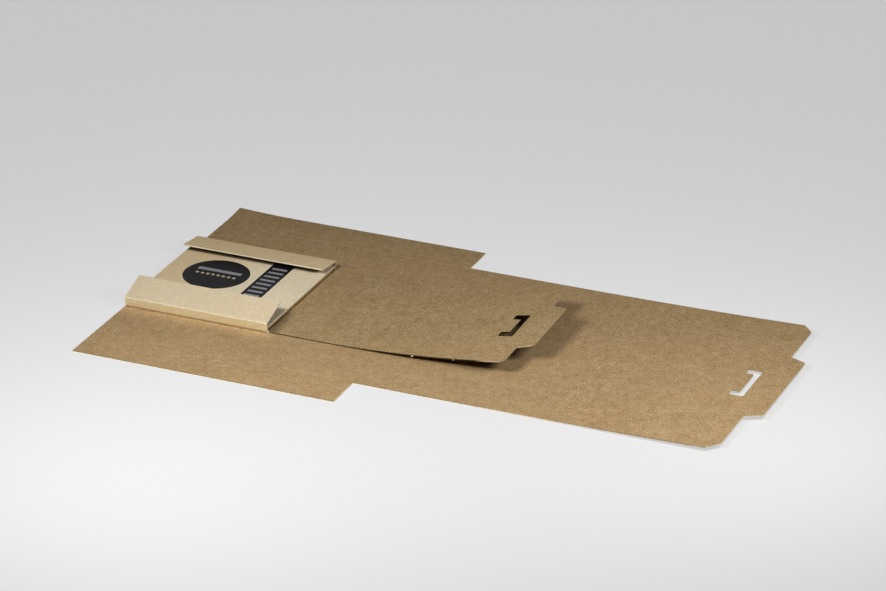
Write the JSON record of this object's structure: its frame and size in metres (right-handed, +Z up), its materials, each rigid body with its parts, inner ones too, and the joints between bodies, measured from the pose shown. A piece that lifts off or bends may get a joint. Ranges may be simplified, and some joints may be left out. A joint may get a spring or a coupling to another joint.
{
  "type": "flattened cardboard box",
  "caption": "Nested die-cut shipping wraps laid open flat: a large outer board wrap, a smaller folded inner wrap and a slim printed pack.",
  "frame": {"origin": "centre of the outer wrap's outline, on the surface that it lies on", "axes": "+X along the tongues towards their tabs, +Y across the wraps, +Z up"},
  "size_m": [0.776, 0.4324, 0.0292],
  "materials": {
    "outer_board": "matt brown kraft board with pale cut edges",
    "inner_board": "matt board, brown kraft inside and cream outside",
    "printed_card": "matt cream card with plain dark print"
  },
  "bodies": {
    "root": {"outer_wrap": "outer_board", "inner_wrap": "inner_board", "printed_pack": "printed_card"}
  },
  "joints": []
}
